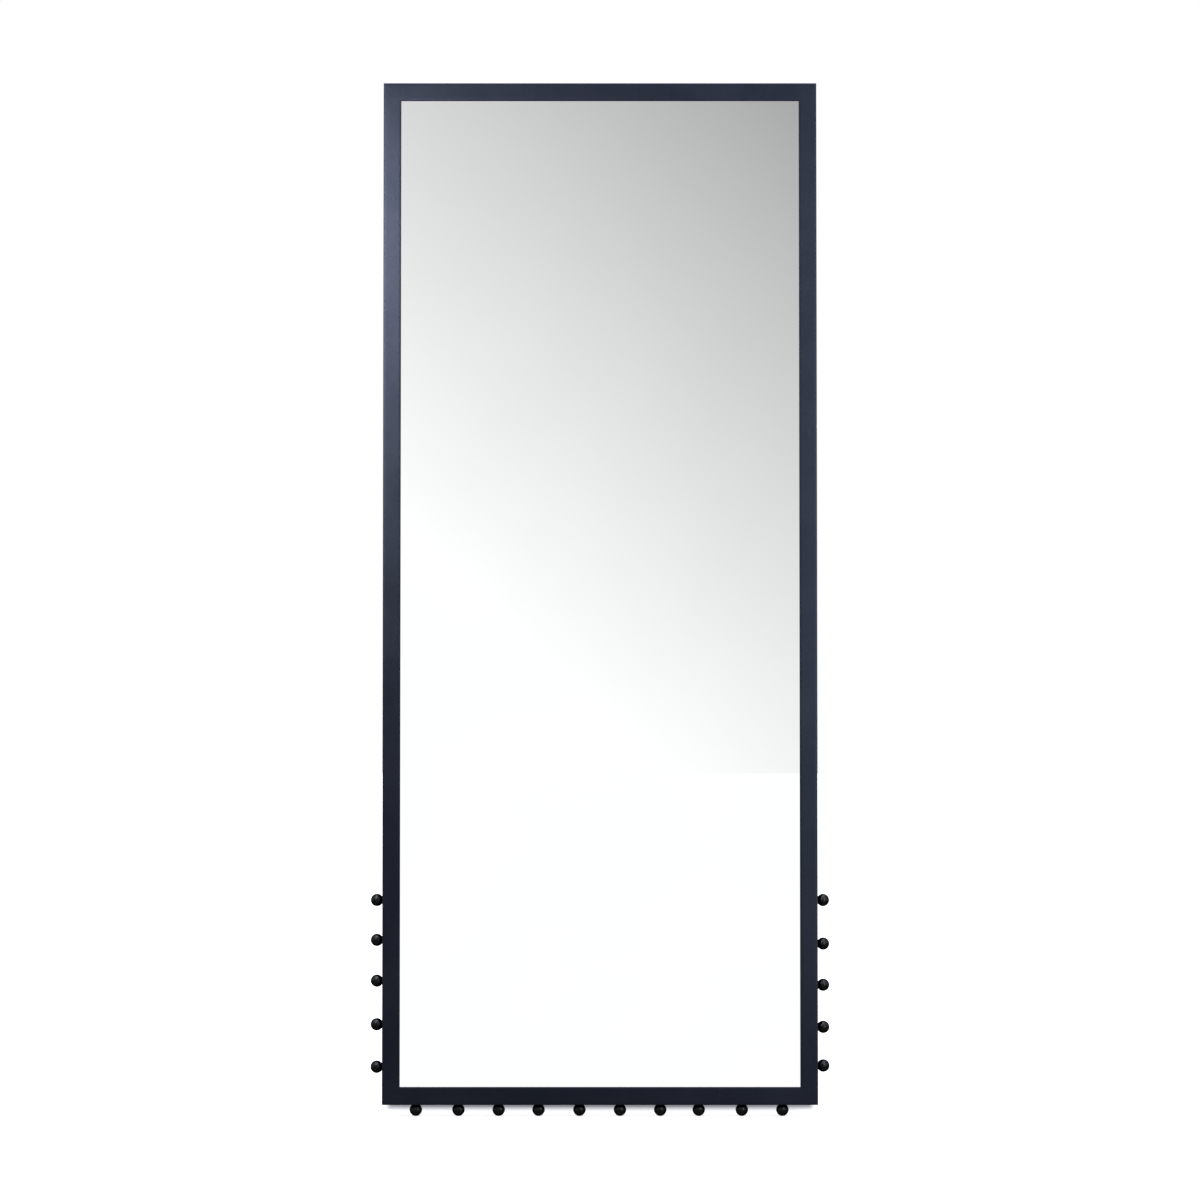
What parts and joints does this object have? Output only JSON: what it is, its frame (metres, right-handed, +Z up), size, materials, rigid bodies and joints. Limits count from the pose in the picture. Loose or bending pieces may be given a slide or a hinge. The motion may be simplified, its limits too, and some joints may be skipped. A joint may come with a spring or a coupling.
{
  "type": "floor mirror",
  "caption": "Tall rectangular floor mirror in a mitred dark metal frame, with small iron balls along its bottom edge and lower sides; leans on or hangs from a wall.",
  "frame": {"origin": "on the floor under the middle of the mirror, midway between its front face and the face of its wall bumpers", "axes": "+Z up the mirror, +Y towards the wall behind it, +X to the viewer's right"},
  "size_m": [0.9114, 0.046, 2.0559],
  "materials": {
    "frame_metal": "dark blue-grey metallic, satin",
    "ball_iron": "near-black forged iron, satin",
    "mirror_glass": "polished",
    "black_foam": "matt closed-cell foam",
    "block_rubber": "matt rubber",
    "board_fibre": "black-faced fibreboard, matt",
    "zinc_plate": "zinc-plated steel, satin"
  },
  "bodies": {
    "root": {"left_stile": "frame_metal", "right_stile": "frame_metal", "top_rail": "frame_metal", "bottom_rail": "frame_metal", "side_balls": "ball_iron", "bottom_balls": "ball_iron", "mirror_glass": "mirror_glass", "glazing_tape": "black_foam", "backing_foam": "black_foam", "setting_blocks": "block_rubber", "backing_board": "board_fibre", "board_tabs_left": "frame_metal", "board_tabs_right": "frame_metal", "board_tabs_top": "frame_metal", "board_tabs_bottom": "frame_metal", "hanger_straps": "zinc_plate", "hanger_screws": "zinc_plate", "wall_bumpers": "block_rubber"},
    "ring_left": {"d_ring_left": "zinc_plate"},
    "ring_right": {"d_ring_right": "zinc_plate"}
  },
  "joints": [
    {"name": "ring_left_swing", "type": "hinge", "parent": "root", "child": "ring_left", "pos_m": [-0.4183, 0.01887, 1.7559], "axis": [1, 0, 0], "range_deg": [0, 180]},
    {"name": "ring_right_swing", "type": "hinge", "parent": "root", "child": "ring_right", "pos_m": [0.4183, 0.01887, 1.7559], "axis": [1, 0, 0], "range_deg": [0, 180]}
  ]
}
